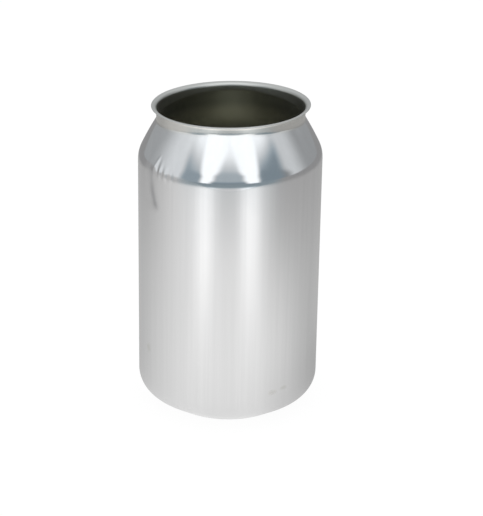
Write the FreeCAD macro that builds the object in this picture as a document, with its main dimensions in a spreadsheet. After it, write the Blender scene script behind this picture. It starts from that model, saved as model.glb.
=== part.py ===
"""Open beverage can: a drawn, ironed and necked aluminium body with no end seamed on.

The can is one piece of sheet, so it is one solid: a single PartDesign body whose
wall section is one sketch, turned a full circle about Z. Millimetres and degrees.
Z = 0 is the plane the can stands on and Z is its axis.
"""
import FreeCAD, Part
import os
from math import acos, cos, radians, sin

import Sketcher

V = FreeCAD.Vector

# Driving dimensions: alias -> (value, what it is). Lengths in mm, angles in degrees.
SIZES = {
    "can_height": (115.2, "stand plane to the top of the rim"),
    "body_diameter": (66.2, "outside of the straight wall"),
    "neck_diameter": (53.1, "outside of the short straight throat under the rim"),
    "flange_diameter": (56.8, "outer edge of the rim flange"),
    "flange_bend": (1.3, "bend from the throat out into the flange, outer face"),
    "neck_drop": (4.92, "rim top down to where the straight throat starts"),
    "neck_bend": (1.5, "hollow bend between the cone and the throat, outer face"),
    "cone_angle": (28.6, "cone of the neck, from the vertical"),
    "shoulder_bend": (10.0, "round shoulder between the wall and the cone"),
    "chime_bend": (8.5, "round between the base cone and the wall"),
    "chime_angle": (57.6, "base cone, from the vertical"),
    "stand_diameter": (43.6, "middle of the ring that the can stands on"),
    "stand_width": (0.5, "flat land at the bottom of that ring"),
    "nose_bend": (1.6, "rounds on both sides of the land, outer face"),
    "leg_angle": (6.0, "inner leg of the ring, from the vertical"),
    "dome_depth": (10.2, "stand plane up to the middle of the dome"),
    "dome_bend": (46.0, "sphere of the dome, outer face"),
    "corner_bend": (1.3, "bend from the dome down into the leg, outer face"),
    "base_thickness": (0.27, "sheet in the dome, ring and chime"),
    "wall_thickness": (0.11, "ironed part of the wall"),
    "neck_thickness": (0.16, "sheet in the shoulder, neck and flange"),
    "shoulder_run": (4.0, "neck thickness kept below the shoulder"),
    "upper_taper": (9.0, "length over which the upper wall thins"),
    "chime_run": (2.0, "base thickness kept above the chime"),
    "lower_taper": (6.0, "length over which the lower wall thickens"),
}

# The bends of the section, from the axis under the dome to the rim. Each has the
# cell of its outer radius, the cell of its sheet, and whether the inner face, which
# is bent about the same centre, has the larger (+) or the smaller (-) radius.
BENDS = {
    "dome": ("dome_bend", "base_thickness", "+"),
    "corner": ("corner_bend", "base_thickness", "+"),
    "nose_in": ("nose_bend", "base_thickness", "-"),
    "nose_out": ("nose_bend", "base_thickness", "-"),
    "chime": ("chime_bend", "base_thickness", "-"),
    "shoulder": ("shoulder_bend", "neck_thickness", "-"),
    "neck": ("neck_bend", "neck_thickness", "+"),
    "flange": ("flange_bend", "neck_thickness", "+"),
}

# The straight line that follows each bend on the outer face. The dome has none.
STRAIGHTS = {
    "corner": "leg",
    "nose_in": "land",
    "nose_out": "base_cone",
    "chime": "wall",
    "shoulder": "cone",
    "neck": "throat",
    "flange": "lip",
}


def make_sheet(doc):
    """The spreadsheet that drives the model: a name, a value and its meaning in each row."""
    sheet = doc.addObject("Spreadsheet::Sheet", "Sizes")
    for row, (alias, (value, meaning)) in enumerate(SIZES.items(), start=1):
        sheet.set(f"A{row}", alias)
        sheet.set(f"B{row}", str(value))
        sheet.setAlias(f"B{row}", alias)
        sheet.set(f"C{row}", meaning)
    doc.recompute()


def polar(length, angle):
    """A vector of the sketch plane, from its length and its angle in radians."""
    return V(length * cos(angle), length * sin(angle), 0)


def place_bends(s):
    """Centre and turning angles of every bend, worked out from the sizes."""
    body, neck, stand = (s[name] / 2 for name in ("body_diameter", "neck_diameter", "stand_diameter"))
    cone, chime, leg = (radians(s[name]) for name in ("cone_angle", "chime_angle", "leg_angle"))
    quarter, half = radians(90), radians(180)
    flange = V(neck + s["flange_bend"], s["can_height"] - s["neck_thickness"] - s["flange_bend"], 0)
    throat = V(neck + s["neck_bend"], s["can_height"] - s["neck_drop"], 0)

    # The cone is the straight line that touches both the neck's bend and the shoulder.
    cone_top = throat - polar(s["neck_bend"], cone)
    cone_foot_x = body - s["shoulder_bend"] * (1 - cos(cone))
    cone_foot_z = cone_top.y - (cone_foot_x - cone_top.x) / sin(cone) * cos(cone)
    shoulder = V(cone_foot_x, cone_foot_z, 0) - polar(s["shoulder_bend"], cone)

    # The base cone touches the outer round of the stand ring and the chime.
    nose_out = V(stand + s["stand_width"] / 2, s["nose_bend"], 0)
    nose_in = V(stand - s["stand_width"] / 2, s["nose_bend"], 0)
    base_foot = nose_out + polar(s["nose_bend"], -chime)
    base_top_x = body - s["chime_bend"] * (1 - cos(chime))
    base_top_z = base_foot.y + (base_top_x - base_foot.x) / sin(chime) * cos(chime)
    chime_centre = V(base_top_x, base_top_z, 0) - polar(s["chime_bend"], -chime)

    # The corner touches the sphere of the dome from inside, and the straight leg.
    dome = V(0, s["dome_depth"] - s["dome_bend"], 0)
    leg_normal = polar(1, leg)
    leg_reach = nose_in.dot(leg_normal) - s["nose_bend"]
    throw = s["dome_bend"] - s["corner_bend"]
    rolled = leg + acos((leg_reach - s["corner_bend"] - dome.dot(leg_normal)) / throw)
    return {
        "dome": (dome, quarter, rolled),
        "corner": (dome + polar(throw, rolled), rolled, leg),
        "nose_in": (nose_in, half + leg, half + quarter),
        "nose_out": (nose_out, -quarter, -chime),
        "chime": (chime_centre, -chime, 0.0),
        "shoulder": (shoulder, 0.0, cone),
        "neck": (throat, half + cone, half),
        "flange": (flange, half, quarter),
    }


class Section:
    """The can's wall section: a closed chain of named lines and arcs in a sketch.

    It runs up the outer face, over the rim and back down the inner face. A sketch
    stores an arc counter-clockwise whichever way the chain runs, so every element
    remembers which of its two ends comes first.
    """

    def __init__(self, sketch):
        self.sketch = sketch
        self.ids = {}
        self.ends = {}

    def line(self, name, start, end):
        self.ids[name] = self.sketch.addGeometry(Part.LineSegment(start, end), False)
        self.ends[name] = (1, 2)

    def arc(self, name, centre, radius, start, end):
        circle = Part.Circle(centre, V(0, 0, 1), radius)
        low, high = sorted((start, end))
        self.ids[name] = self.sketch.addGeometry(Part.ArcOfCircle(circle, low, high), False)
        self.ends[name] = (1, 2) if start == low else (2, 1)

    def first(self, name):
        """The start of an element, as a constraint wants it."""
        return self.ids[name], self.ends[name][0]

    def last(self, name):
        """The end of an element, as a constraint wants it."""
        return self.ids[name], self.ends[name][1]

    def fix(self, kind, *places):
        """Add a constraint that has no size, such as Vertical."""
        return self.sketch.addConstraint(Sketcher.Constraint(kind, *places))

    def bind(self, label, formula, kind, *places_and_value):
        """Add a constraint whose size is a formula of the spreadsheet's cells."""
        self.sketch.renameConstraint(self.fix(kind, *places_and_value), label)
        self.sketch.setExpression(f"Constraints.{label}", formula)


def draw_section(section, s):
    """Draw the whole chain at its true size, so that the solver starts from the answer."""
    places = place_bends(s)
    names = list(BENDS)

    def bend(name, inside):
        """Centre, radius and angles of one bend, on one face of the sheet."""
        centre, start, end = places[name]
        radius_cell, sheet_cell, side = BENDS[name]
        offset = {"+": s[sheet_cell], "-": -s[sheet_cell]}[side] if inside else 0
        return centre, s[radius_cell] + offset, start, end

    def bend_end(name, inside, at_end):
        centre, radius, start, end = bend(name, inside)
        return centre + polar(radius, end if at_end else start)

    # The outer face, from the axis under the dome to the edge of the flange.
    rim_top = V(s["flange_diameter"] / 2, s["can_height"], 0)
    rim_under = rim_top - V(0, s["neck_thickness"], 0)
    for name, following in zip(names, names[1:] + [None]):
        section.arc(name, *bend(name, False))
        if name in STRAIGHTS:
            far_end = bend_end(following, False, False) if following else rim_under
            section.line(STRAIGHTS[name], bend_end(name, False, True), far_end)
    section.line("edge", rim_under, rim_top)

    # The inner face, back down to the axis under the middle of the dome.
    near_end = rim_top
    for name in reversed(names):
        if name == "chime":
            near_end = draw_inner_wall(section, s, places)
        elif name in STRAIGHTS:
            section.line(STRAIGHTS[name] + "_inner", near_end, bend_end(name, True, True))
        centre, radius, start, end = bend(name, True)
        section.arc(name + "_inner", centre, radius, end, start)
        near_end = bend_end(name, True, False)
    section.line("axis", near_end, V(0, s["dome_depth"], 0))


def draw_inner_wall(section, s, places):
    """The inner wall: thick by the shoulder and the chime, ironed thin between tapers."""
    body = s["body_diameter"] / 2
    shoulder_z = places["shoulder"][0].y
    chime_z = places["chime"][0].y
    upper_z = shoulder_z - s["shoulder_run"]
    lower_z = chime_z + s["chime_run"]
    corners = [
        V(body - s["neck_thickness"], shoulder_z, 0),
        V(body - s["neck_thickness"], upper_z, 0),
        V(body - s["wall_thickness"], upper_z - s["upper_taper"], 0),
        V(body - s["wall_thickness"], lower_z + s["lower_taper"], 0),
        V(body - s["base_thickness"], lower_z, 0),
        V(body - s["base_thickness"], chime_z, 0),
    ]
    stretches = ("upper_run", "upper_taper", "thin_wall", "lower_taper", "lower_run")
    for name, start, end in zip(stretches, corners, corners[1:]):
        section.line(name, start, end)
    return corners[-1]


def tie_section(section, s):
    """Constrain the section fully, with every size bound to the spreadsheet."""
    ids, first, last = section.ids, section.first, section.last
    origin, x_axis, z_axis = (-1, 1), -1, -2

    # Every join is smooth, except at the flange's edge, the tapers' ends and the axis.
    sharp = {"lip", "edge", "upper_run", "upper_taper", "thin_wall", "lower_taper", "dome_inner", "axis"}
    chain = list(ids)
    for before, after in zip(chain, chain[1:] + chain[:1]):
        section.fix("Coincident" if before in sharp else "Tangent", *last(before), *first(after))
    for name in ("land", "lip"):
        section.fix("Horizontal", ids[name])
    for name in ("wall", "throat", "edge", "upper_run", "thin_wall", "lower_run"):
        section.fix("Vertical", ids[name])

    # Both faces of a bend share one centre, and their radii differ by the sheet.
    for name, (radius_cell, sheet_cell, side) in BENDS.items():
        inner = name + "_inner"
        drawn = [section.sketch.Geometry[ids[face]].Radius for face in (name, inner)]
        section.bind(f"{name}_outside", f"Sizes.{radius_cell}", "Radius", ids[name], drawn[0])
        formula = f"Sizes.{radius_cell} {side} Sizes.{sheet_cell}"
        section.bind(f"{name}_inside", formula, "Radius", ids[inner], drawn[1])
        if name != "dome":
            section.fix("Coincident", ids[name], 3, ids[inner], 3)
    # The dome's faces are centred on the axis and end on it.
    for face in ("dome", "dome_inner"):
        section.fix("PointOnObject", ids[face], 3, z_axis)
    section.fix("PointOnObject", *first("dome"), z_axis)
    section.fix("PointOnObject", *last("dome_inner"), z_axis)
    section.fix("PointOnObject", *first("land"), x_axis)

    # Distances out from the axis.
    for label, diameter, place in (
        ("wall_out", "body_diameter", first("wall")),
        ("throat_out", "neck_diameter", last("throat")),
        ("rim_out", "flange_diameter", last("edge")),
    ):
        section.bind(label, f"Sizes.{diameter} / 2", "DistanceX", *origin, *place, s[diameter] / 2)
    land_out = (s["stand_diameter"] - s["stand_width"]) / 2
    formula = "(Sizes.stand_diameter - Sizes.stand_width) / 2"
    section.bind("land_out", formula, "DistanceX", *origin, *first("land"), land_out)

    # Lengths that are one cell each: label, kind, from, to and the cell.
    for label, kind, start, end, cell in (
        ("land_width", "DistanceX", first("land"), last("land"), "stand_width"),
        ("ironed_sheet", "DistanceX", last("thin_wall"), last("wall"), "wall_thickness"),
        ("rim_height", "DistanceY", origin, last("edge"), "can_height"),
        ("rim_sheet", "DistanceY", first("edge"), last("edge"), "neck_thickness"),
        ("throat_depth", "DistanceY", first("throat"), last("edge"), "neck_drop"),
        ("dome_height", "DistanceY", origin, first("dome"), "dome_depth"),
        ("upper_run_length", "DistanceY", last("upper_run"), first("upper_run"), "shoulder_run"),
        ("upper_taper_length", "DistanceY", last("upper_taper"), first("upper_taper"), "upper_taper"),
        ("lower_taper_length", "DistanceY", last("lower_taper"), first("lower_taper"), "lower_taper"),
        ("lower_run_length", "DistanceY", last("lower_run"), first("lower_run"), "chime_run"),
    ):
        section.bind(label, f"Sizes.{cell}", kind, *start, *end, s[cell])

    # Slopes from the vertical, each turned from the first line's direction to the second's.
    for line, start, end, cell in (
        ("cone", first("wall"), first("cone"), "cone_angle"),
        ("base_cone", first("base_cone"), first("wall"), "chime_angle"),
        ("leg", last("wall"), first("leg"), "leg_angle"),
    ):
        section.bind(f"{line}_slope", f"Sizes.{cell}", "Angle", *start, *end, radians(s[cell]))


def make_body(doc):
    """The can: the wall section turned once round the axis."""
    body = doc.addObject("PartDesign::Body", "can_body")
    body.Label = "can_body"
    plane = next(item for item in body.Origin.OriginFeatures if item.Role == "XZ_Plane")
    sketch = body.newObject("Sketcher::SketchObject", "wall_section")
    sketch.AttachmentSupport = [(plane, "")]
    sketch.MapMode = "FlatFace"
    doc.recompute()

    values = {alias: value for alias, (value, _) in SIZES.items()}
    section = Section(sketch)
    draw_section(section, values)
    tie_section(section, values)
    doc.recompute()
    if not sketch.FullyConstrained:
        raise RuntimeError("the wall section is not fully constrained")

    turned = body.newObject("PartDesign::Revolution", "turned_wall")
    turned.Profile = sketch
    turned.ReferenceAxis = (sketch, ["V_Axis"])
    turned.Angle = 360
    body.Tip = turned
    doc.recompute()
    return body


def check(doc, bodies):
    """Stop on any failed object, and on any body that isn't one valid solid."""
    for item in doc.Objects:
        if {"Invalid", "Error"} & set(item.State):
            raise RuntimeError(f"{item.Name} failed: {item.State}")
    for body in bodies:
        shape = body.Shape
        if shape.isNull() or not shape.isValid() or len(shape.Solids) != 1:
            raise RuntimeError(f"{body.Label} is not one valid solid")


def main():
    doc = FreeCAD.newDocument("beverage_can")
    make_sheet(doc)
    bodies = [make_body(doc)]
    check(doc, bodies)
    os.makedirs("parts", exist_ok=True)
    for body in bodies:
        body.Shape.exportStep(f"parts/{body.Label}.step")
        box = body.Shape.optimalBoundingBox(False)
        size = f"{box.XLength:.2f} x {box.YLength:.2f} x {box.ZLength:.2f} mm"
        print(f"{body.Label}: {size}, {body.Shape.Volume:.1f} mm3 of sheet")


main()
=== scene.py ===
# %% [markdown]
# # An open drinks can in bare aluminium
#
# The object is a drawn, ironed and necked can body, empty and with no end seamed on.
# A CAD model already fixes its size and its place. This lesson gives it its looks:
# a finely meshed shell, the small dents it has picked up, bare metal outside,
# lacquer inside, and soft studio light for the metal to reflect.
#
# The first step loads the CAD model as a frame. Everything after it is in metres and in
# that frame, so a size read from the frame is always right, even if the CAD changes.

# %% Load the frame
from math import acos, cos, hypot, pi, radians, sin, tan

import bpy
import numpy as np
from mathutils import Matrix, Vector


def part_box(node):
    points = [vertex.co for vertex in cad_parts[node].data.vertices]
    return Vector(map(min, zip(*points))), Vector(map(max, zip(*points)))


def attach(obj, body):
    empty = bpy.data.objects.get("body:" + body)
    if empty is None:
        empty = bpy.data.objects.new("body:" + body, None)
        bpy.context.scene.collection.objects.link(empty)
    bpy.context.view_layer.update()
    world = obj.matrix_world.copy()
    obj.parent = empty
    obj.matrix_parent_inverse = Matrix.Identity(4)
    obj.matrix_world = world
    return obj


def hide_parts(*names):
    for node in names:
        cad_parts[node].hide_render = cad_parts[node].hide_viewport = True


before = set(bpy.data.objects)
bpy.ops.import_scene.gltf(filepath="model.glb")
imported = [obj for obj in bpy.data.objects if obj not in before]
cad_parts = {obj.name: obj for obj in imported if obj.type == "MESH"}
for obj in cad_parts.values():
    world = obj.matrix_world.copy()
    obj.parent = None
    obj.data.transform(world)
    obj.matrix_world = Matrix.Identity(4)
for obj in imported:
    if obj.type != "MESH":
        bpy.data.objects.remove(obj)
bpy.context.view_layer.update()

MM = 0.001
low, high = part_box("can_body")
body_radius = (high.x - low.x) / 2
can_height = high.z - low.z
print(f"frame: body {body_radius * 2 / MM:.1f} mm across, {can_height / MM:.1f} mm tall")

# %% [markdown]
# ## The camera first
#
# A metal surface is mostly a picture of what stands around it, so the lights can only be
# judged through the final camera. It is a long lens, about 0.7 m away and looking 23
# degrees down, aimed a little beside the can's middle and rolled by one degree, as a
# camera held by hand often is. Aiming beside the subject keeps the lens shift at zero.

# %% Place the camera
CAMERA_DISTANCE = 0.700
CAMERA_ELEVATION = radians(22.635)
CAMERA_ROLL = radians(0.941)
AIM = Vector((4.615 * MM, 0.0, 54.9 * MM))
ORBIT_CENTRE = Vector((0.0, 0.0, 57.3 * MM))
LENS = 133.28


def place_camera():
    data = bpy.data.cameras.new("camera")
    data.lens = LENS
    camera = bpy.data.objects.new("camera", data)
    bpy.context.scene.collection.objects.link(camera)
    camera.location = ORBIT_CENTRE + CAMERA_DISTANCE * Vector(
        (0.0, -cos(CAMERA_ELEVATION), sin(CAMERA_ELEVATION))
    )
    facing = (AIM - camera.location).to_track_quat("-Z", "Y")
    camera.rotation_euler = facing.to_euler()
    camera.rotation_euler.rotate_axis("Z", CAMERA_ROLL)
    bpy.context.scene.camera = camera
    return camera


camera = place_camera()
print("camera stands at", [round(v, 3) for v in camera.location])

# %% [markdown]
# ## The wall section
#
# A can is a thin sheet whose section is a chain of bends and straights: dome, stand ring,
# chime, wall, shoulder, cone, throat and flange. One could lathe a few points and smooth
# them with a subdivision surface, but the reflections on bare metal show every bulge
# that smoothing makes. Here each bend is a true arc, placed so that its neighbours are
# tangent to it, and cut into steps short enough to look round.

# %% Name the sizes of the section
NECK_RADIUS = 26.55 * MM
FLANGE_RADIUS = 28.38 * MM
FLANGE_BEND = 1.3 * MM
CURL_BEND = 0.30 * MM
CURL_ANGLE = radians(75.0)
NECK_DROP = 4.925 * MM
NECK_BEND = 1.5 * MM
CONE_ANGLE = radians(28.6)
CONE_BOW = radians(3.0)
SHOULDER_BEND = 10.0 * MM
CHIME_BEND = 8.5 * MM
CHIME_ANGLE = radians(57.6)
STAND_RADIUS = 21.8 * MM
STAND_WIDTH = 0.5 * MM
NOSE_BEND = 1.6 * MM
LEG_ANGLE = radians(6.0)
DOME_DEPTH = 10.2 * MM
DOME_BEND = 46.0 * MM
CORNER_BEND = 1.3 * MM
BASE_SHEET = 0.27 * MM
WALL_SHEET = 0.11 * MM
NECK_SHEET = 0.16 * MM
CHIME_RUN = 2.0 * MM
LOWER_TAPER = 6.0 * MM
UPPER_TAPER = 9.0 * MM
SHOULDER_RUN = 4.0 * MM


def polar(length, angle):
    """A point of the section plane: x is out from the axis and y is up."""
    return np.array((length * cos(angle), length * sin(angle)))


def section_bends():
    """Centre, radius, start and end angle of each outer bend, and its sheet offset."""
    throat = np.array((NECK_RADIUS + NECK_BEND, can_height - NECK_DROP))
    flange = np.array((NECK_RADIUS + FLANGE_BEND, can_height - NECK_SHEET - FLANGE_BEND))
    curl = np.array((FLANGE_RADIUS - CURL_BEND, can_height - CURL_BEND))
    foot_angle = CONE_ANGLE - CONE_BOW
    top_angle = CONE_ANGLE + CONE_BOW
    shoulder_x = body_radius - SHOULDER_BEND
    spread = shoulder_x + SHOULDER_BEND * cos(foot_angle) - throat[0] + NECK_BEND * cos(top_angle)
    bow = spread / (cos(foot_angle) - cos(top_angle))
    cone = throat - polar(NECK_BEND + bow, top_angle)
    shoulder = cone + polar(bow - SHOULDER_BEND, foot_angle)

    nose_out = np.array((STAND_RADIUS + STAND_WIDTH / 2, NOSE_BEND))
    nose_in = np.array((STAND_RADIUS - STAND_WIDTH / 2, NOSE_BEND))
    base_foot = nose_out + polar(NOSE_BEND, -CHIME_ANGLE)
    base_top_x = body_radius - CHIME_BEND * (1 - cos(CHIME_ANGLE))
    base_top_y = base_foot[1] + (base_top_x - base_foot[0]) / tan(CHIME_ANGLE)
    chime = np.array((base_top_x, base_top_y)) - polar(CHIME_BEND, -CHIME_ANGLE)

    dome = np.array((0.0, DOME_DEPTH - DOME_BEND))
    throw = DOME_BEND - CORNER_BEND
    reach = (nose_in - dome) @ polar(1, LEG_ANGLE) - NOSE_BEND - CORNER_BEND
    dome_end = LEG_ANGLE + acos(reach / throw)
    corner = dome + polar(throw, dome_end)
    return [
        ("dome", dome, DOME_BEND, pi / 2, dome_end, BASE_SHEET),
        ("corner", corner, CORNER_BEND, dome_end, LEG_ANGLE, BASE_SHEET),
        ("nose_in", nose_in, NOSE_BEND, pi + LEG_ANGLE, 1.5 * pi, -BASE_SHEET),
        ("nose_out", nose_out, NOSE_BEND, -pi / 2, -CHIME_ANGLE, -BASE_SHEET),
        ("chime", chime, CHIME_BEND, -CHIME_ANGLE, 0.0, -BASE_SHEET),
        ("shoulder", shoulder, SHOULDER_BEND, 0.0, foot_angle, -NECK_SHEET),
        ("cone", cone, bow, foot_angle, top_angle, -NECK_SHEET),
        ("neck", throat, NECK_BEND, pi + top_angle, pi, NECK_SHEET),
        ("flange", flange, FLANGE_BEND, pi, pi / 2, NECK_SHEET),
        ("curl", curl, CURL_BEND - NECK_SHEET, pi / 2, pi / 2 - CURL_ANGLE, NECK_SHEET),
    ]


bends = {name: rest for name, *rest in section_bends()}
shoulder_height = bends["shoulder"][0][1]
chime_height = bends["chime"][0][1]
print(f"wall runs from {chime_height / MM:.1f} to {shoulder_height / MM:.1f} mm")

# %% [markdown]
# ## From bends to points
#
# Steps are spent where they show. Bends get one step for every few degrees and never a
# long one, the plain wall gets one every 3 mm, and its upper part, which reaches into
# the dents, one every 0.6 mm. The inner face is hardly seen, so its steps are longer.

# %% Cut the section into points
ARC_STEP = radians(4.0)
WALL_STEP = 3.2 * MM
DENTED_STEP = 0.62 * MM
DENTED_FROM = 66.0 * MM
INNER_WALL_STEP = 3.0 * MM
INNER_DENTED_STEP = 1.3 * MM
INNER_COARSER = 2.0
LONGEST_ARC_STEP = 0.9 * MM
DOME_STEP = radians(1.5)
SMALL_BEND = 0.5 * MM
SMALL_BEND_STEP = radians(15.0)
STRAIGHT_STEP = 1.0 * MM
CUT_EDGE_STEP = radians(30.0)
TOUCHING = 0.01 * MM


def arc_points(centre, radius, start, end, step):
    count = max(2, round(abs(end - start) / step))
    return [centre + polar(radius, angle) for angle in np.linspace(start, end, count + 1)]


def line_points(start, end, step):
    """Points strictly between two ends, for they belong to the bends there."""
    length = hypot(*(end - start))
    count = max(1, round(length / step))
    return [start + (end - start) * k / count for k in range(1, count)]


def face_points(inside):
    """One face of the sheet, from the middle of the dome to the flange's last bend."""
    points = []
    coarser = INNER_COARSER if inside else 1.0
    for name, (centre, radius, start, end, sheet) in bends.items():
        radius += sheet if inside else 0.0
        step = min(ARC_STEP, LONGEST_ARC_STEP / radius) * coarser
        if radius < SMALL_BEND:
            step = SMALL_BEND_STEP
        if name == "dome":
            step = DOME_STEP * coarser
        arc = arc_points(centre, radius, start, end, step)
        if points:
            points += between(name, points[-1], arc[0], coarser, inside)
        repeats = bool(points) and hypot(*(arc[0] - points[-1])) <= TOUCHING
        points += arc[1:] if repeats else arc
    return points


def between(name, start, end, coarser, inside):
    """The straight run before a bend. The wall is thinner than its two ends."""
    if name != "shoulder":
        return line_points(start, end, STRAIGHT_STEP * coarser)
    if not inside:
        middle = np.array((start[0], DENTED_FROM))
        lower = line_points(start, middle, WALL_STEP)
        return lower + [middle] + line_points(middle, end, DENTED_STEP)
    ironed = body_radius - WALL_SHEET
    taper_foot = shoulder_height - SHOULDER_RUN - UPPER_TAPER
    corners = [
        start,
        np.array((start[0], chime_height + CHIME_RUN)),
        np.array((ironed, chime_height + CHIME_RUN + LOWER_TAPER)),
        np.array((ironed, taper_foot)),
        np.array((end[0], shoulder_height - SHOULDER_RUN)),
        end,
    ]
    points = []
    for a, b in zip(corners, corners[1:]):
        dented = a[1] >= taper_foot
        points += line_points(a, b, INNER_DENTED_STEP if dented else INNER_WALL_STEP) + [b]
    return points[:-1]


def rim_points():
    """The cut edge at the end of the curl, with its two corners just broken."""
    centre, radius, _, end, sheet = bends["curl"]
    middle = centre + polar(radius + sheet / 2, end)
    return arc_points(middle, sheet / 2, end + pi, end + 2 * pi, CUT_EDGE_STEP)[1:-1]


outer = face_points(False)
inner = face_points(True)
section = outer + rim_points() + inner[::-1]
outer_count = len(outer) + 2
print(f"section: {len(section)} points, {outer_count} of them outside")

# %% [markdown]
# ## Turning the section round the axis
#
# The shell follows one rule, the section turned about Z, so Geometry Nodes make it. A
# Screw modifier could too, but the node tree also hands out the UV map and the two
# materials, and its inputs stay readable. A grid gives the faces: its columns become
# steps round the axis and its rows become points of the section. Each grid vertex looks
# up its row in the section, then is swung round Z by its column's share of a full turn.
# The shares are not equal: the columns gather on the side that has the dents, and stand
# wider apart on the far side. Merging by distance closes the seam and the dome's poles.

# %% Helpers for node trees
def add(tree, kind, values=None, **settings):
    """Add a node, set its properties and then its inputs by name or number."""
    node = tree.nodes.new(kind)
    for name, value in settings.items():
        setattr(node, name, value)
    for name, value in (values or {}).items():
        if isinstance(value, bpy.types.NodeSocket):
            tree.links.new(value, node.inputs[name])
        else:
            node.inputs[name].default_value = value
    return node


def math(tree, operation, first, second=0.0, third=None, kind="ShaderNodeMath"):
    """The output of one arithmetic node."""
    values = {0: first, 1: second}
    if third is not None:
        values[2] = third
    return add(tree, kind, values, operation=operation).outputs[0]


# %% Build the turning tree
AROUND = 300
GATHER = 0.6
GATHER_ANGLE = radians(-142.0)
WELD = 0.001 * MM


def turning_tree(sheet_metal, lacquer):
    tree = bpy.data.node_groups.new("turn section", "GeometryNodeTree")
    sockets = tree.interface
    sockets.new_socket("Section", in_out="INPUT", socket_type="NodeSocketGeometry")
    for name in ("Steps Around", "Section Points", "Outside Points"):
        sockets.new_socket(name, in_out="INPUT", socket_type="NodeSocketInt")
    for name in ("Gather", "Gather Angle"):
        sockets.new_socket(name, in_out="INPUT", socket_type="NodeSocketFloat")
    sockets.new_socket("Shell", in_out="OUTPUT", socket_type="NodeSocketGeometry")
    given = add(tree, "NodeGroupInput").outputs

    # A cyclic grid needs one more column than it has steps.
    columns = math(tree, "ADD", given["Steps Around"], 1, kind="FunctionNodeIntegerMath")
    rows = given["Section Points"]
    grid = add(tree, "GeometryNodeMeshGrid", {"Vertices X": columns, "Vertices Y": rows})
    index = add(tree, "GeometryNodeInputIndex").outputs[0]
    row = math(tree, "MODULO", index, rows, kind="FunctionNodeIntegerMath")
    column = math(tree, "DIVIDE_FLOOR", index, rows, kind="FunctionNodeIntegerMath")

    place = add(tree, "GeometryNodeSampleIndex", data_type="FLOAT_VECTOR", domain="POINT")
    tree.links.new(given["Section"], place.inputs["Geometry"])
    tree.links.new(add(tree, "GeometryNodeInputPosition").outputs[0], place.inputs["Value"])
    tree.links.new(row, place.inputs["Index"])
    turn = math(tree, "DIVIDE", math(tree, "MULTIPLY", column, 2 * pi), given["Steps Around"])
    # Steps are shorter near the gather angle and longer on the far side.
    swing = math(tree, "SINE", math(tree, "SUBTRACT", turn, given["Gather Angle"]))
    turn = math(tree, "SUBTRACT", turn, math(tree, "MULTIPLY", swing, given["Gather"]))
    swung = add(
        tree,
        "ShaderNodeVectorRotate",
        {"Vector": place.outputs["Value"], "Angle": turn},
        rotation_type="Z_AXIS",
    )
    shell = add(
        tree,
        "GeometryNodeSetPosition",
        {"Geometry": grid.outputs["Mesh"], "Position": swung.outputs[0]},
    )
    mapped = add(
        tree,
        "GeometryNodeStoreNamedAttribute",
        {"Geometry": shell.outputs[0], "Name": "UVMap", "Value": grid.outputs["UV Map"]},
        data_type="FLOAT2",
        domain="CORNER",
    )
    metal = add(
        tree,
        "GeometryNodeSetMaterial",
        {"Geometry": mapped.outputs[0], "Material": sheet_metal},
    )
    # A column of the grid has one face fewer than it has points.
    faces = math(tree, "SUBTRACT", rows, 1, kind="FunctionNodeIntegerMath")
    face_row = math(tree, "MODULO", index, faces, kind="FunctionNodeIntegerMath")
    inside = add(tree, "FunctionNodeCompare", data_type="INT", operation="GREATER_EQUAL")
    tree.links.new(face_row, inside.inputs["A"])
    tree.links.new(given["Outside Points"], inside.inputs["B"])
    coated = add(
        tree,
        "GeometryNodeSetMaterial",
        {"Geometry": metal.outputs[0], "Selection": inside.outputs[0], "Material": lacquer},
    )
    closed = add(
        tree,
        "GeometryNodeMergeByDistance",
        {"Geometry": coated.outputs[0], "Distance": WELD},
    )
    smooth = add(tree, "GeometryNodeSetShadeSmooth", {"Geometry": closed.outputs[0]})
    real = add(tree, "GeometryNodeRealizeInstances", {"Geometry": smooth.outputs[0]})
    add(tree, "NodeGroupOutput", {"Shell": real.outputs[0]})
    return tree


def section_object():
    """The section as a row of loose vertices, in order, in the plane y = 0."""
    mesh = bpy.data.meshes.new("can_shell")
    mesh.from_pydata([(x, 0.0, z) for x, z in section], [], [])
    thing = bpy.data.objects.new("can_shell", mesh)
    bpy.context.scene.collection.objects.link(thing)
    return thing


def turn_section(sheet_metal, lacquer):
    """Run the tree on the section and keep its result as a plain mesh."""
    thing = section_object()
    modifier = thing.modifiers.new("turn section", "NODES")
    modifier.node_group = turning_tree(sheet_metal, lacquer)
    sizes = {
        "Steps Around": AROUND,
        "Section Points": len(section),
        "Outside Points": outer_count,
        "Gather": GATHER,
        "Gather Angle": GATHER_ANGLE,
    }
    for item in modifier.node_group.interface.items_tree:
        if item.in_out == "INPUT" and item.name in sizes:
            modifier[item.identifier] = sizes[item.name]
    bpy.context.view_layer.update()
    turned = thing.evaluated_get(bpy.context.evaluated_depsgraph_get())
    result = bpy.data.meshes.new_from_object(turned)
    thing.modifiers.remove(modifier)
    thing.data = result
    if result.materials[0] is None:
        result.materials.pop(index=0)
    return thing


bare_sheet = bpy.data.materials.new("bare sheet")
lacquered_sheet = bpy.data.materials.new("lacquered sheet")
can = turn_section(bare_sheet, lacquered_sheet)
print(f"shell: {len(can.data.vertices)} vertices, {len(can.data.materials)} materials")
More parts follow.
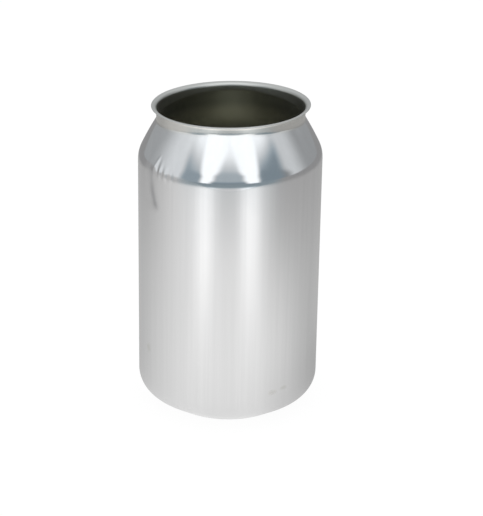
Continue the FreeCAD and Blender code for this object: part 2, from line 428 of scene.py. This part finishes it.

# %% [markdown]
# ## What has happened to this can
#
# Sheet a tenth of a millimetre thick takes every knock. The rim stands about one degree
# out of level and a little low, and the neck is slightly oval, narrower from front to
# back. A crease runs down the left of the shoulder, with a fold above it and a few small
# ripples in front. Sculpting would show them well, but not twice in the same way. Here
# each mark is a short rule: how far a point lies from the mark, measured along the sheet,
# decides how far it moves. Inner and outer face move together, so the sheet keeps its
# Along the crease the base colour is also darkened: painted shade.

# %% Read every point as an angle and a height
def smooth_step(value, start, end):
    """0 before the start, 1 after the end, and an S curve between."""
    t = np.clip((value - start) / (end - start), 0.0, 1.0)
    return t * t * (3.0 - 2.0 * t)


def read_points(thing):
    points = np.empty(len(thing.data.vertices) * 3)
    thing.data.vertices.foreach_get("co", points)
    return points.reshape(-1, 3)


def write_points(thing, points):
    thing.data.vertices.foreach_set("co", points.ravel())
    thing.data.update()


points = read_points(can)
around = np.degrees(np.arctan2(points[:, 0], -points[:, 1]))
height = points[:, 2] / MM
print(f"angles run from {around.min():.0f} to {around.max():.0f} degrees, 0 is the front")

# %% Press the marks
MM_PER_DEGREE = body_radius / MM * pi / 180
CREASE = [(-58.2, 98.0), (-57.6, 94.5), (-56.8, 91.5), (-56.2, 88.8), (-55.0, 86.4), (-52.4, 82.4)]
CREASE_DEPTH = 0.32
CREASE_BEHIND = 5.0
CREASE_EDGE = (-0.5, 1.9)
CREASE_FADE = 2.5
FOLD = [(-54.6, 97.8), (-53.2, 99.7), (-51.9, 101.3)]
FOLD_HALF_WIDTH = 0.55
FOLD_HEIGHT = 0.25
FOLD_FADE = 0.6
# Painted shade along the crease: where its line lies, how wide it is and where it fades.
CREASE_SHADE_AT = 0.2
CREASE_SHADE_HALF_WIDTH = 1.9
CREASE_SHADE_FADE = 1.6
CREASE_SHADE_LOSS = 0.55
CREASE_SHADE_LOSS_HEIGHTS = (87.0, 94.0)
RIPPLES = [
    # angle, height, half width, half height, depth in mm; a minus depth stands proud
    (-50.8, 98.0, 0.9, 2.2, 0.20),
    (-48.6, 97.6, 0.8, 1.9, -0.18),
    (-46.4, 97.2, 0.8, 1.8, 0.16),
    (-43.6, 97.0, 1.0, 1.8, -0.16),
    (-41.2, 96.8, 0.8, 1.6, 0.09),
    (-38.8, 97.4, 0.9, 2.4, -0.08),
    (-36.2, 97.2, 0.9, 1.6, 0.05),
]


def beside(path):
    """How far each point lies to the right of a path, in mm along the sheet."""
    angles, heights = np.array(path).T
    order = np.argsort(heights)
    return (around - np.interp(height, heights[order], angles[order])) * MM_PER_DEGREE


def along(path, fade):
    """1 beside the path, and down to 0 past its two ends."""
    heights = [h for _, h in path]
    lower = smooth_step(height, min(heights) - fade, min(heights) + fade)
    return lower * (1.0 - smooth_step(height, max(heights) - fade, max(heights) + fade))


def pressed_in():
    """The inward movement of every point, in mm."""
    right = beside(CREASE)
    behind = np.exp(-((np.minimum(right, 0.0) / CREASE_BEHIND) ** 2))
    crease = behind * (1.0 - smooth_step(right, *CREASE_EDGE)) * along(CREASE, CREASE_FADE)
    fold = np.exp(-((beside(FOLD) / FOLD_HALF_WIDTH) ** 2)) * along(FOLD, FOLD_FADE)
    depth = CREASE_DEPTH * crease - FOLD_HEIGHT * fold
    for angle, middle, half_width, half_height, deep in RIPPLES:
        across = (around - angle) * MM_PER_DEGREE / half_width
        up = (height - middle) / half_height
        depth += deep * np.exp(-(across**2) - up**2)
    return depth


def crease_shade_mask():
    """Painted shade along the crease: 1 in its line, less in its upper part, 0 away from it."""
    line = np.exp(-(((beside(CREASE) - CREASE_SHADE_AT) / CREASE_SHADE_HALF_WIDTH) ** 2))
    kept = 1.0 - CREASE_SHADE_LOSS * smooth_step(height, *CREASE_SHADE_LOSS_HEIGHTS)
    return line * along(CREASE, CREASE_SHADE_FADE) * kept


print(f"marks: a crease, a fold and {len(RIPPLES)} ripples")

# %% Squeeze the neck from front to back
SQUEEZE = 1.35
SQUEEZE_FROM = 98.0


def squeeze_neck():
    """The cone runs further up at the front and back, so the throat is nearer the axis."""
    corner = (bends["neck"][0][1] - NECK_BEND * sin(CONE_ANGLE)) / MM
    straight = bends["neck"][0][1] / MM
    flange_foot = bends["flange"][0][1] / MM
    share = np.cos(np.radians(around)) ** 2
    inward = SQUEEZE * share * np.clip((height - SQUEEZE_FROM) / (corner - SQUEEZE_FROM), 0.0, 1.0)
    left_over = 1.0 - np.clip((height - straight) / (flange_foot - straight), 0.0, 1.0)
    radius = np.hypot(points[:, 0], points[:, 1])
    nearer = 1.0 - inward * MM / np.maximum(radius, 1.0 * MM)
    points[:, 0] *= nearer
    points[:, 1] *= nearer
    points[:, 2] += inward / tan(CONE_ANGLE) * left_over * MM
    return inward.max()


print(f"the throat is {squeeze_neck():.2f} mm closer to the axis at the front and back")

# %% Move the points
depth = pressed_in() * MM
radius = np.hypot(points[:, 0], points[:, 1])
inward = 1.0 - depth / np.maximum(radius, 1.0 * MM)
points[:, 0] *= inward
points[:, 1] *= inward
print(f"deepest mark {depth.max() / MM:.2f} mm, proudest {-depth.min() / MM:.2f} mm")

# %% Tilt the rim
RIM_UP_RIGHT = radians(1.122)
RIM_DROP = 0.94 * MM
TILTED_HEIGHTS = (80.0, 97.0)
tilted = smooth_step(height, *TILTED_HEIGHTS)
lift = points[:, 0] * tan(RIM_UP_RIGHT) - RIM_DROP
points[:, 2] += tilted * lift
write_points(can, points)
rim_heights = points[height > can_height / MM - 0.1, 2] / MM
print(f"rim runs from {rim_heights.min():.2f} to {rim_heights.max():.2f} mm")

# %% [markdown]
# ## Where the satin ends
#
# The ironing rings leave the wall satin. The necking dies, which slide over the sheet
# afterwards, rub it bright. The line between the two lies just above where the shoulder
# begins. It is sharp, dips at the front and rises in the dented part. A mask painted on
# the points would be as coarse as the mesh. Instead each point keeps its height above the
# line as a number, and the material makes the step.

# %% Store the height above the neck's edge
NECK_EDGE = shoulder_height + 1.1 * MM
FRONT_DIP = 2.2
FRONT_DIP_DEGREES = 17.0
DENTED_RISE = 1.4
DENTED_RISE_AT = -36.0
DENTED_RISE_DEGREES = 18.0


def store(thing, name, values):
    attribute = thing.data.attributes.new(name, "FLOAT", "POINT")
    attribute.data.foreach_set("value", values)


def edge_wave():
    """The edge dips at the front and rises in the dented part, in mm."""
    front = np.exp(-((around / FRONT_DIP_DEGREES) ** 2))
    dented = np.exp(-(((around - DENTED_RISE_AT) / DENTED_RISE_DEGREES) ** 2))
    return DENTED_RISE * dented - FRONT_DIP * front


store(can, "above_neck_edge", (height - edge_wave()) * MM - NECK_EDGE)
store(can, "section_height", height * MM)
# The crease's painted shade, carried to the material.
store(can, "crease_shade", crease_shade_mask())
print(f"neck edge at {NECK_EDGE / MM:.1f} mm")

# %% [markdown]
# ## Two effects that the metal and the lacquer share
#
# Drawing lines are the fine upright scratches that the ironing rings leave. A noise that
# is squeezed in X and Y and stretched in Z gives them without a seam. Handling haze is
# the slow, cloudy change in shine that comes from touching and rolling. Each is a node
# group, built once: the lines hand out a tone and a height, the haze a mask, for the
# materials to use.

# %% Build the drawing lines
LINE_STRETCH = 160.0
BROAD_SHARE = (0.18, 0.18, 0.3)


def new_group(name, inputs, outputs):
    group = bpy.data.node_groups.new(name, "ShaderNodeTree")
    for label, kind in inputs.items():
        group.interface.new_socket(label, in_out="INPUT", socket_type=kind)
    for label in outputs:
        group.interface.new_socket(label, in_out="OUTPUT", socket_type="NodeSocketFloat")
    return group


def drawing_lines_group():
    """Fine upright lines. Pitch is the distance between them in millimetres."""
    group = new_group(
        "drawing lines",
        {"Position": "NodeSocketVector", "Pitch": "NodeSocketFloat"},
        ("Tone", "Height"),
    )
    given = add(group, "NodeGroupInput").outputs
    across = math(group, "DIVIDE", 1000.0, given["Pitch"])
    upright = math(group, "DIVIDE", across, LINE_STRETCH)
    scale = add(group, "ShaderNodeCombineXYZ", {"X": across, "Y": across, "Z": upright}).outputs[0]
    squeezed = math_vector(group, "MULTIPLY", given["Position"], scale)
    fine = add(group, "ShaderNodeTexNoise", {"Vector": squeezed, "Scale": 1.0, "Detail": 2.0})
    bands = math_vector(group, "MULTIPLY", squeezed, BROAD_SHARE)
    broad = add(group, "ShaderNodeTexNoise", {"Vector": bands, "Scale": 1.0, "Detail": 1.0})
    half = math(group, "MULTIPLY", fine.outputs[0], 0.5)
    tone = math(group, "MULTIPLY_ADD", broad.outputs[0], 0.5, third=half)
    add(group, "NodeGroupOutput", {"Tone": tone, "Height": fine.outputs[0]})
    return group


def math_vector(tree, operation, first, second):
    return math(tree, operation, first, second, kind="ShaderNodeVectorMath")


drawing_lines = drawing_lines_group()
print("group:", drawing_lines.name, [item.name for item in drawing_lines.interface.items_tree])

# %% Build the handling haze
def handling_haze_group():
    """Slow clouds from 0 to 1. Size is the width of a cloud in millimetres."""
    group = new_group(
        "handling haze",
        {"Position": "NodeSocketVector", "Size": "NodeSocketFloat"},
        ("Cloud",),
    )
    given = add(group, "NodeGroupInput").outputs
    scale = math(group, "DIVIDE", 1000.0, given["Size"])
    clouds = add(
        group,
        "ShaderNodeTexNoise",
        {"Vector": given["Position"], "Scale": scale, "Detail": 3.0, "Distortion": 0.4},
    )
    soft = add(
        group,
        "ShaderNodeMapRange",
        {"Value": clouds.outputs[0], "From Min": 0.3, "From Max": 0.7},
        interpolation_type="SMOOTHSTEP",
    )
    add(group, "NodeGroupOutput", {"Cloud": soft.outputs[0]})
    return group


handling_haze = handling_haze_group()
print("group:", handling_haze.name, [item.name for item in handling_haze.interface.items_tree])

# %% [markdown]
# ## Bare aluminium outside
#
# The metal has hardly a colour of its own, so its look is its polish: satin on the drawn
# wall, nearly a mirror on the neck, satin and slightly cream in the throat under the lip,
# dull on the ring it stands on, and a few rubbed places near the foot. All of it goes into
# roughness, into a fine bump and into the base colour. Along the crease the base colour is
# darkened, as painted shade.

# %% Helpers for materials
def start_material(material):
    material.use_nodes = True
    tree = material.node_tree
    tree.nodes.clear()
    shader = add(tree, "ShaderNodeBsdfPrincipled")
    add(tree, "ShaderNodeOutputMaterial", {"Surface": shader.outputs[0]})
    return tree, shader


def group_node(tree, group, values):
    return add(tree, "ShaderNodeGroup", values, node_tree=group)


def stored(tree, name):
    """A number that the mesh's points carry."""
    return add(tree, "ShaderNodeAttribute", attribute_name=name).outputs["Fac"]


def ramp(tree, value, start, end, low_value=0.0, high_value=1.0):
    """A smooth step: where it starts and ends, and its value at each."""
    limits = {"Value": value, "From Min": start, "From Max": end}
    limits.update({"To Min": low_value, "To Max": high_value})
    return add(tree, "ShaderNodeMapRange", limits, interpolation_type="SMOOTHSTEP").outputs[0]


def mix(tree, factor, first, second):
    """Blend two numbers."""
    return add(tree, "ShaderNodeMix", {0: factor, 2: first, 3: second}).outputs[0]


def mix_color(tree, factor, first, second):
    """Blend two colours."""
    values = {0: factor, 6: first, 7: second}
    return add(tree, "ShaderNodeMix", values, data_type="RGBA").outputs[2]


# %% Finish the bare sheet
SATIN = (0.87, 0.87, 0.87, 1.0)
BRIGHT = (0.90, 0.905, 0.915, 1.0)
CREAM = (0.88, 0.87, 0.828, 1.0)
# Painted shade in the crease's line.
CREASE_SHADE_COLOR = (0.58, 0.585, 0.59, 1.0)
SCUFFED = (0.62, 0.62, 0.62, 1.0)
SMUDGED = (0.70, 0.695, 0.64, 1.0)
STREAK = (0.45, 0.45, 0.46, 1.0)
SATIN_ROUGH = (0.20, 0.23)
BRIGHT_ROUGH = (0.085, 0.11)
THROAT_ROUGH = 0.26
THROAT_FROM = 108.8 * MM
THROAT_FULL = 110.4 * MM
SATIN_PITCH = 0.34
SATIN_HAZE = 22.0
NECK_EDGE_SOFT = 0.15 * MM
SCUFF_FROM = 0.9 * MM
SCUFF_FULL = 0.15 * MM
SCUFF_ROUGHER = 0.18
RUBBED_ROUGHER = 0.05
RUBBED_COLOR = 0.42
# How much of the crease's painted shade goes into the colour.
CREASE_SHADE_SHARE = 0.9
STREAK_TONES = (0.35, 0.65, 0.0, 0.06)
NECK_LINES = 0.12
SATIN_BUMP = 0.008 * MM
RUBBED_PLACES = [
    # angle, height, half width in mm, flatness
    (29.6, 14.5, 2.8, 1.9),
    (38.0, 15.2, 2.2, 1.9),
    (-60.5, 25.9, 2.1, 0.8),
]


def on_wall(angle, up):
    """A place on the wall from its angle and its height in mm."""
    turn = radians(angle)
    return (body_radius * sin(turn), -body_radius * cos(turn), up * MM)


def rubbed_mask(tree, position):
    """Soft flat ovals where something has rubbed the wall."""
    total = 0.0
    for angle, up, size, flatness in RUBBED_PLACES:
        away = math_vector(tree, "SUBTRACT", position, on_wall(angle, up))
        flat = math_vector(tree, "MULTIPLY", away, (1.0, 1.0, flatness))
        length = add(tree, "ShaderNodeVectorMath", {0: flat}, operation="LENGTH").outputs["Value"]
        total = math(tree, "ADD", total, ramp(tree, length, size * MM, 0.2 * size * MM))
    return total


def finish_bare_sheet(material):
    tree, shader = start_material(material)
    position = add(tree, "ShaderNodeTexCoord").outputs["Object"]
    lines = group_node(tree, drawing_lines, {"Position": position, "Pitch": SATIN_PITCH})
    haze = group_node(tree, handling_haze, {"Position": position, "Size": SATIN_HAZE}).outputs[0]
    up = add(tree, "ShaderNodeSeparateXYZ", {0: position}).outputs["Z"]
    neck = ramp(tree, stored(tree, "above_neck_edge"), -NECK_EDGE_SOFT, NECK_EDGE_SOFT)
    throat = ramp(tree, stored(tree, "section_height"), THROAT_FROM, THROAT_FULL)
    crease = stored(tree, "crease_shade")
    scuff = ramp(tree, up, SCUFF_FROM, SCUFF_FULL)
    rubbed = rubbed_mask(tree, position)

    satin_rough = mix(tree, haze, *SATIN_ROUGH)
    bright_rough = mix(tree, haze, *BRIGHT_ROUGH)
    rough = mix(tree, neck, satin_rough, bright_rough)
    rough = mix(tree, throat, rough, THROAT_ROUGH)
    rough = math(tree, "MULTIPLY_ADD", scuff, SCUFF_ROUGHER, third=rough)
    rough = math(tree, "MULTIPLY_ADD", rubbed, RUBBED_ROUGHER, third=rough)
    tree.links.new(rough, shader.inputs["Roughness"])

    color = mix_color(tree, neck, SATIN, BRIGHT)
    color = mix_color(tree, throat, color, CREAM)
    # Painted shade: the crease's line is darkened in the base colour.
    color = mix_color(tree, math(tree, "MULTIPLY", crease, CREASE_SHADE_SHARE), color, CREASE_SHADE_COLOR)
    streak = ramp(tree, lines.outputs["Tone"], *STREAK_TONES)
    color = mix_color(tree, streak, color, STREAK)
    color = mix_color(tree, math(tree, "MULTIPLY", rubbed, RUBBED_COLOR), color, SMUDGED)
    color = mix_color(tree, scuff, color, SCUFFED)
    tree.links.new(color, shader.inputs["Base Color"])
    shader.inputs["Metallic"].default_value = 1.0

    depth = math(tree, "MULTIPLY", lines.outputs["Height"], mix(tree, neck, 1.0, NECK_LINES))
    bump = add(tree, "ShaderNodeBump", {"Height": depth, "Distance": SATIN_BUMP, "Strength": 1.0})
    tree.links.new(bump.outputs[0], shader.inputs["Normal"])


finish_bare_sheet(bare_sheet)
print("bare sheet:", len(bare_sheet.node_tree.nodes), "nodes")

# %% [markdown]
# ## Lacquer inside
#
# A can is sprayed inside with a clear lacquer, and baked. On the thin metal it looks
# dark olive, because light reaches the eye only after several bounces down the tube.
# A dielectric coat over metal would be the literal way. A tinted metal of medium
# roughness needs fewer light paths and looks much the same from outside. In the neck its
# colour is darkened, as painted shade, and it is nearly bare on the lip.

# %% Finish the lacquered sheet
LACQUER = (0.70, 0.695, 0.615, 1.0)
LACQUER_DEEP = (0.64, 0.635, 0.55, 1.0)
# Painted shade: the lacquer's colour in the neck.
LACQUER_NECK_SHADE = (0.46, 0.47, 0.43, 1.0)
LIP = (0.67, 0.672, 0.65, 1.0)
LACQUER_ROUGH = (0.33, 0.40)
LACQUER_PITCH = 0.5
LACQUER_HAZE = 15.0
LACQUER_BUMP = 0.005 * MM
NECK_SHADE_HEIGHTS = (101.0 * MM, 106.0 * MM)
LIP_HEIGHTS = (113.0 * MM, 115.0 * MM)


def finish_lacquered_sheet(material):
    tree, shader = start_material(material)
    position = add(tree, "ShaderNodeTexCoord").outputs["Object"]
    lines = group_node(tree, drawing_lines, {"Position": position, "Pitch": LACQUER_PITCH})
    haze = group_node(tree, handling_haze, {"Position": position, "Size": LACQUER_HAZE}).outputs[0]
    section_height = stored(tree, "section_height")
    lip = ramp(tree, section_height, *LIP_HEIGHTS)
    tree.links.new(mix(tree, haze, *LACQUER_ROUGH), shader.inputs["Roughness"])
    color = mix_color(tree, haze, LACQUER, LACQUER_DEEP)
    # Painted shade darkens the lacquer in the neck.
    neck_shade = ramp(tree, section_height, *NECK_SHADE_HEIGHTS)
    color = mix_color(tree, neck_shade, color, LACQUER_NECK_SHADE)
    color = mix_color(tree, lip, color, LIP)
    tree.links.new(color, shader.inputs["Base Color"])
    shader.inputs["Metallic"].default_value = 1.0
    depth = lines.outputs["Height"]
    bump = add(tree, "ShaderNodeBump", {"Height": depth, "Distance": LACQUER_BUMP})
    tree.links.new(bump.outputs[0], shader.inputs["Normal"])


finish_lacquered_sheet(lacquered_sheet)
print("lacquered sheet:", len(lacquered_sheet.node_tree.nodes), "nodes")

# %% Hand the shell to the frame
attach(can, "root")
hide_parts("can_body")
print("the shell rides on root and stands for can_body")

# %% [markdown]
# ## The floor
#
# The floor is plain and white. What the eye sees directly is white with the can's soft
# shadow in it. What the metal reflects is painted light: the sheet glows as lamps would
# light it, bright in two bands towards the panels, dimmer to the sides and behind, with a
# painted shadow close round the can's foot, and ending in a dark room. Bare metal shows
# all of that, and would look flat over an evenly white floor.

# %% Describe the sheet by place
# The reflected sheet is painted light: where it glows fully, where it goes dark, and its two bright
# bands.
SHEET_BRIGHT = 0.27
SHEET_DARK = 0.42
HIGHLIGHTS = (-29.0, 24.5)
BEHIND_GLOW = 0.45

# Each soft step below is where it starts, where it ends and its value at each. Angles are
# in degrees from the front, and distances from the axis in metres.
FAR = (0.12, 0.28)
LEFT_NEAR = (20.0, 140.0, 0.86, 0.50)
LEFT_FAR = (30.0, 125.0, 0.85, 0.42)
RIGHT_NEAR = (14.0, 120.0, 0.86, 0.48)
RIGHT_FAR = (26.0, 66.0, 0.85, 0.39)
BEHIND = (140.0, 172.0)
# Painted shadow in the reflected sheet, close round the can's foot.
CONTACT_SHADE = (10.0, 50.0, 0.94, 0.83)
CONTACT_SHADE_REACH = (0.036, 0.10)
MIDDLE_AT = -2.0
MIDDLE_WIDTH = (20.0, 4.0)
MIDDLE_DIP = (0.195, 0.27, 0.01, 0.22)
BAND_WIDTH = (17.0, 1.0)
BAND_GAIN = (0.06, 0.26, 0.01, 0.37)
DARK_SIDE_AT = -85.0
DARK_SIDE = (45.0, 10.0, 0.28, 0.45)
AHEAD = (70.0, 50.0)
WHITE = (1.0, 1.0, 1.0, 1.0)
FAR_WHITE = (1.0, 0.997, 1.0, 1.0)
BEYOND_BLUE = (0.82, 1.0, 1.1, 1.0)


def floor_glow(tree):
    """The painted light of the sheet in a reflection: its colour and brightness by place."""
    position = add(tree, "ShaderNodeTexCoord").outputs["Object"]
    axes = add(tree, "ShaderNodeSeparateXYZ", {0: position}).outputs
    forward = math(tree, "MULTIPLY", axes["Y"], -1.0)
    angle = math(tree, "DEGREES", math(tree, "ARCTAN2", axes["X"], forward))
    away = add(tree, "ShaderNodeVectorMath", {0: position}, operation="LENGTH").outputs["Value"]
    leftward = math(tree, "MULTIPLY", angle, -1.0)
    far = ramp(tree, away, *FAR)
    left = mix(tree, far, ramp(tree, leftward, *LEFT_NEAR), ramp(tree, leftward, *LEFT_FAR))
    right = mix(tree, far, ramp(tree, angle, *RIGHT_NEAR), ramp(tree, angle, *RIGHT_FAR))
    glow = math(tree, "MINIMUM", left, right)
    behind = ramp(tree, math(tree, "ABSOLUTE", angle), *BEHIND)
    glow = mix(tree, behind, glow, BEHIND_GLOW)
    # Painted shadow round the foot.
    contact_shade = ramp(tree, angle, *CONTACT_SHADE)
    glow = math(tree, "MULTIPLY", glow, ramp(tree, away, *CONTACT_SHADE_REACH, contact_shade, 1.0))
    off = math(tree, "ABSOLUTE", math(tree, "SUBTRACT", angle, MIDDLE_AT))
    dip = ramp(tree, away, *MIDDLE_DIP)
    glow = math(tree, "SUBTRACT", glow, ramp(tree, off, *MIDDLE_WIDTH, 0.0, dip))
    for middle in HIGHLIGHTS:
        off = math(tree, "ABSOLUTE", math(tree, "SUBTRACT", angle, middle))
        gain = ramp(tree, away, *BAND_GAIN)
        glow = math(tree, "ADD", glow, ramp(tree, off, *BAND_WIDTH, 0.0, gain))
    off = math(tree, "ABSOLUTE", math(tree, "SUBTRACT", angle, DARK_SIDE_AT))
    dark = ramp(tree, off, *DARK_SIDE)
    beyond = ramp(tree, away, SHEET_BRIGHT, SHEET_DARK)
    ahead = ramp(tree, math(tree, "ABSOLUTE", angle), *AHEAD)
    color = mix_color(tree, far, WHITE, FAR_WHITE)
    color = mix_color(tree, math(tree, "MULTIPLY", beyond, ahead), color, BEYOND_BLUE)
    return color, mix(tree, beyond, glow, dark)


print(f"sheet: two bands at {HIGHLIGHTS} degrees, dark beyond {SHEET_DARK / MM:.0f} mm")

# %% Lay the floor
FLOOR_SIZE = 5.0
FLOOR_COLOR = (0.9, 0.9, 0.9, 1.0)
SEEN_WHITE = 1.03
SEEN_SHARE = 0.91
FLOOR_GAP = 0.02 * MM


def finish_floor(material):
    material.use_nodes = True
    tree = material.node_tree
    tree.nodes.clear()
    white = add(tree, "ShaderNodeEmission", {"Color": WHITE, "Strength": SEEN_WHITE})
    lit = add(tree, "ShaderNodeBsdfDiffuse", {"Color": FLOOR_COLOR})
    seen = add(
        tree,
        "ShaderNodeMixShader",
        {0: SEEN_SHARE, 1: lit.outputs[0], 2: white.outputs[0]},
    )
    color, glow = floor_glow(tree)
    reflected = add(tree, "ShaderNodeEmission", {"Color": color, "Strength": glow})
    rays = add(tree, "ShaderNodeLightPath").outputs
    glossy = add(
        tree,
        "ShaderNodeMixShader",
        {0: rays["Is Glossy Ray"], 1: seen.outputs[0], 2: reflected.outputs[0]},
    )
    below = add(tree, "ShaderNodeNewGeometry").outputs["Backfacing"]
    clear = add(tree, "ShaderNodeBsdfTransparent")
    both = add(tree, "ShaderNodeMixShader", {0: below, 1: glossy.outputs[0], 2: clear.outputs[0]})
    add(tree, "ShaderNodeOutputMaterial", {"Surface": both.outputs[0]})


def lay_floor():
    half = FLOOR_SIZE / 2
    z = low.z - FLOOR_GAP
    mesh = bpy.data.meshes.new("floor")
    corners = [(-half, -half, z), (half, -half, z), (half, half, z), (-half, half, z)]
    mesh.from_pydata(corners, [], [(0, 1, 2, 3)])
    floor = bpy.data.objects.new("floor", mesh)
    bpy.context.scene.collection.objects.link(floor)
    material = bpy.data.materials.new("white sheet")
    mesh.materials.append(material)
    finish_floor(material)
    return floor


floor = lay_floor()
print(f"floor: {FLOOR_SIZE:.1f} m square")

# %% [markdown]
# ## The room that the metal reflects
#
# Two tall soft panels stand in front, left and right of the camera, and lean together at
# the top. Between and beside them the room is dimmer and a little blue. Area lamps could
# be the panels, but they light the floor as well and their reflections are hard squares.
# Here the world's own colour draws them: each direction is read as an angle round the
# can and an angle above the floor, and soft steps of the two make panels and walls.

# %% Describe the room by direction
COOL = (0.80, 1.00, 1.14)
PLAIN = (0.97, 1.00, 1.02)
PANEL_GLOW = 1.15
REAR_GLOW = 0.53
REAR_LOW_GLOW = 0.34
LEFT_GAP_GLOW = 0.33
RIGHT_GAP_GLOW = 0.25

# Soft steps again, over the angle round the can or the angle above the floor.
LEFT_WALL = (-120.0, -80.0, 0.36, 0.71)
RIGHT_WALL = (84.0, 112.0, 0.61, 0.32)
WALLS_MEET = (-1.0, 1.0)
REAR_LOW = (135.0, 170.0)
REAR_HIGH = (110.0, 140.0)
REAR_HEIGHTS = (8.0, 20.0)
LEFT_GAP = (-69.0, -58.0, -20.0, -10.0)
RIGHT_GAP = (1.0, 11.0, 62.0, 76.0)
RIGHT_GAP_LEAN = (34.0, 4.0, 0.0, 10.0)
MIDDLE_GAP = (-28.0, -20.0, 18.0, 26.0)
MIDDLE_GLOW = (0.0, 12.0, 0.25, 0.43)
CEILING_GLOW = (50.0, 85.0, 1.05, 0.68)
CEILING_FROM = (15.0, 40.0, 31.0, 25.0)
CEILING_RIGHT = (10.0, 30.0, 0.0, 3.0)
CEILING_FULL = 39.0
HALF_GAP = (26.0, 44.0, 19.0, 0.0)
HALF_GAP_LOW = (14.0, -2.0, 0.0, 4.0)
WIDER_LEFT = (20.0, 34.0, 0.0, 5.0)
WIDER_RIGHT = (20.0, 34.0, 0.0, 2.5)
PANEL_LEFT_OUTER = (-40.0, -33.0)
PANEL_LEFT_INNER = (-6.5, 2.5, 1.0, 0.0)
PANEL_RIGHT_OUTER = (39.0, 32.0)
PANEL_RIGHT_INNER = (-6.0, 2.0)
NEUTRAL_GLOW = (0.2, 0.65)
NEUTRAL_SIDES = (62.0, 76.0)


def between_edges(tree, value, low_from, low_to, high_from, high_to):
    """1 between two limits, each a soft step of its own width."""
    falling = ramp(tree, value, high_from, high_to, 1.0, 0.0)
    return math(tree, "MULTIPLY", ramp(tree, value, low_from, low_to), falling)


def room_color(tree):
    direction = add(tree, "ShaderNodeTexCoord").outputs["Generated"]
    axes = add(tree, "ShaderNodeSeparateXYZ", {0: direction}).outputs
    forward = math(tree, "MULTIPLY", axes["Y"], -1.0)
    angle = math(tree, "DEGREES", math(tree, "ARCTAN2", axes["X"], forward))
    above = math(tree, "DEGREES", math(tree, "ARCSINE", axes["Z"]))
    side = math(tree, "ABSOLUTE", angle)

    # The walls on both sides, and the rear, which is brighter higher up.
    left = ramp(tree, angle, *LEFT_WALL)
    right = ramp(tree, angle, *RIGHT_WALL)
    walls = mix(tree, ramp(tree, angle, *WALLS_MEET), left, right)
    walls = mix(tree, ramp(tree, side, *REAR_LOW), walls, REAR_LOW_GLOW)
    rear = math(tree, "MULTIPLY", ramp(tree, side, *REAR_HIGH), ramp(tree, above, *REAR_HEIGHTS))
    walls = mix(tree, rear, walls, REAR_GLOW)

    # The dim gaps beside and between the panels.
    shade = between_edges(tree, angle, *LEFT_GAP)
    glow = mix(tree, shade, walls, LEFT_GAP_GLOW)
    low = ramp(tree, above, *RIGHT_GAP_LEAN)
    shade = between_edges(tree, math(tree, "SUBTRACT", angle, low), *RIGHT_GAP)
    glow = mix(tree, shade, glow, RIGHT_GAP_GLOW)
    middle = ramp(tree, above, *MIDDLE_GLOW)
    glow = mix(tree, between_edges(tree, angle, *MIDDLE_GAP), glow, middle)

    # The ceiling, bright over the front.
    ceiling = ramp(tree, side, *CEILING_GLOW)
    starts = ramp(tree, side, *CEILING_FROM)
    starts = math(tree, "ADD", starts, ramp(tree, angle, *CEILING_RIGHT))
    glow = mix(tree, ramp(tree, above, starts, CEILING_FULL), glow, ceiling)

    # The panels lean together at the top and grow wider there.
    half_gap = ramp(tree, above, *HALF_GAP)
    half_gap = math(tree, "ADD", half_gap, ramp(tree, above, *HALF_GAP_LOW))
    left = math(tree, "ADD", angle, half_gap)
    right = math(tree, "SUBTRACT", angle, half_gap)
    outer_left = math(tree, "ADD", angle, ramp(tree, above, *WIDER_LEFT))
    outer_right = math(tree, "SUBTRACT", angle, ramp(tree, above, *WIDER_RIGHT))
    panel_left = math(
        tree,
        "MULTIPLY",
        ramp(tree, outer_left, *PANEL_LEFT_OUTER),
        ramp(tree, left, *PANEL_LEFT_INNER),
    )
    panel_right = math(
        tree,
        "MULTIPLY",
        ramp(tree, outer_right, *PANEL_RIGHT_OUTER),
        ramp(tree, right, *PANEL_RIGHT_INNER),
    )
    panels = math(tree, "MAXIMUM", panel_left, panel_right)
    glow = mix(tree, panels, glow, PANEL_GLOW)

    bright = ramp(tree, glow, *NEUTRAL_GLOW)
    neutral = math(tree, "MAXIMUM", bright, ramp(tree, side, *NEUTRAL_SIDES))
    tint = mix_color(tree, neutral, COOL + (1.0,), PLAIN + (1.0,))
    return add(tree, "ShaderNodeVectorMath", {0: tint, "Scale": glow}, operation="SCALE").outputs[0]


def light_the_room():
    world = bpy.data.worlds.new("room")
    bpy.context.scene.world = world
    world.use_nodes = True
    tree = world.node_tree
    tree.nodes.clear()
    room = add(tree, "ShaderNodeBackground", {"Color": room_color(tree), "Strength": 1.0})
    white = add(tree, "ShaderNodeBackground", {"Color": WHITE, "Strength": 1.0})
    rays = add(tree, "ShaderNodeLightPath").outputs
    both = add(
        tree,
        "ShaderNodeMixShader",
        {0: rays["Is Glossy Ray"], 1: white.outputs[0], 2: room.outputs[0]},
    )
    add(tree, "ShaderNodeOutputWorld", {"Surface": both.outputs[0]})
    return world


light_the_room()
bpy.context.scene.view_settings.view_transform = "Standard"
print("world: room for reflections, white for the eye")
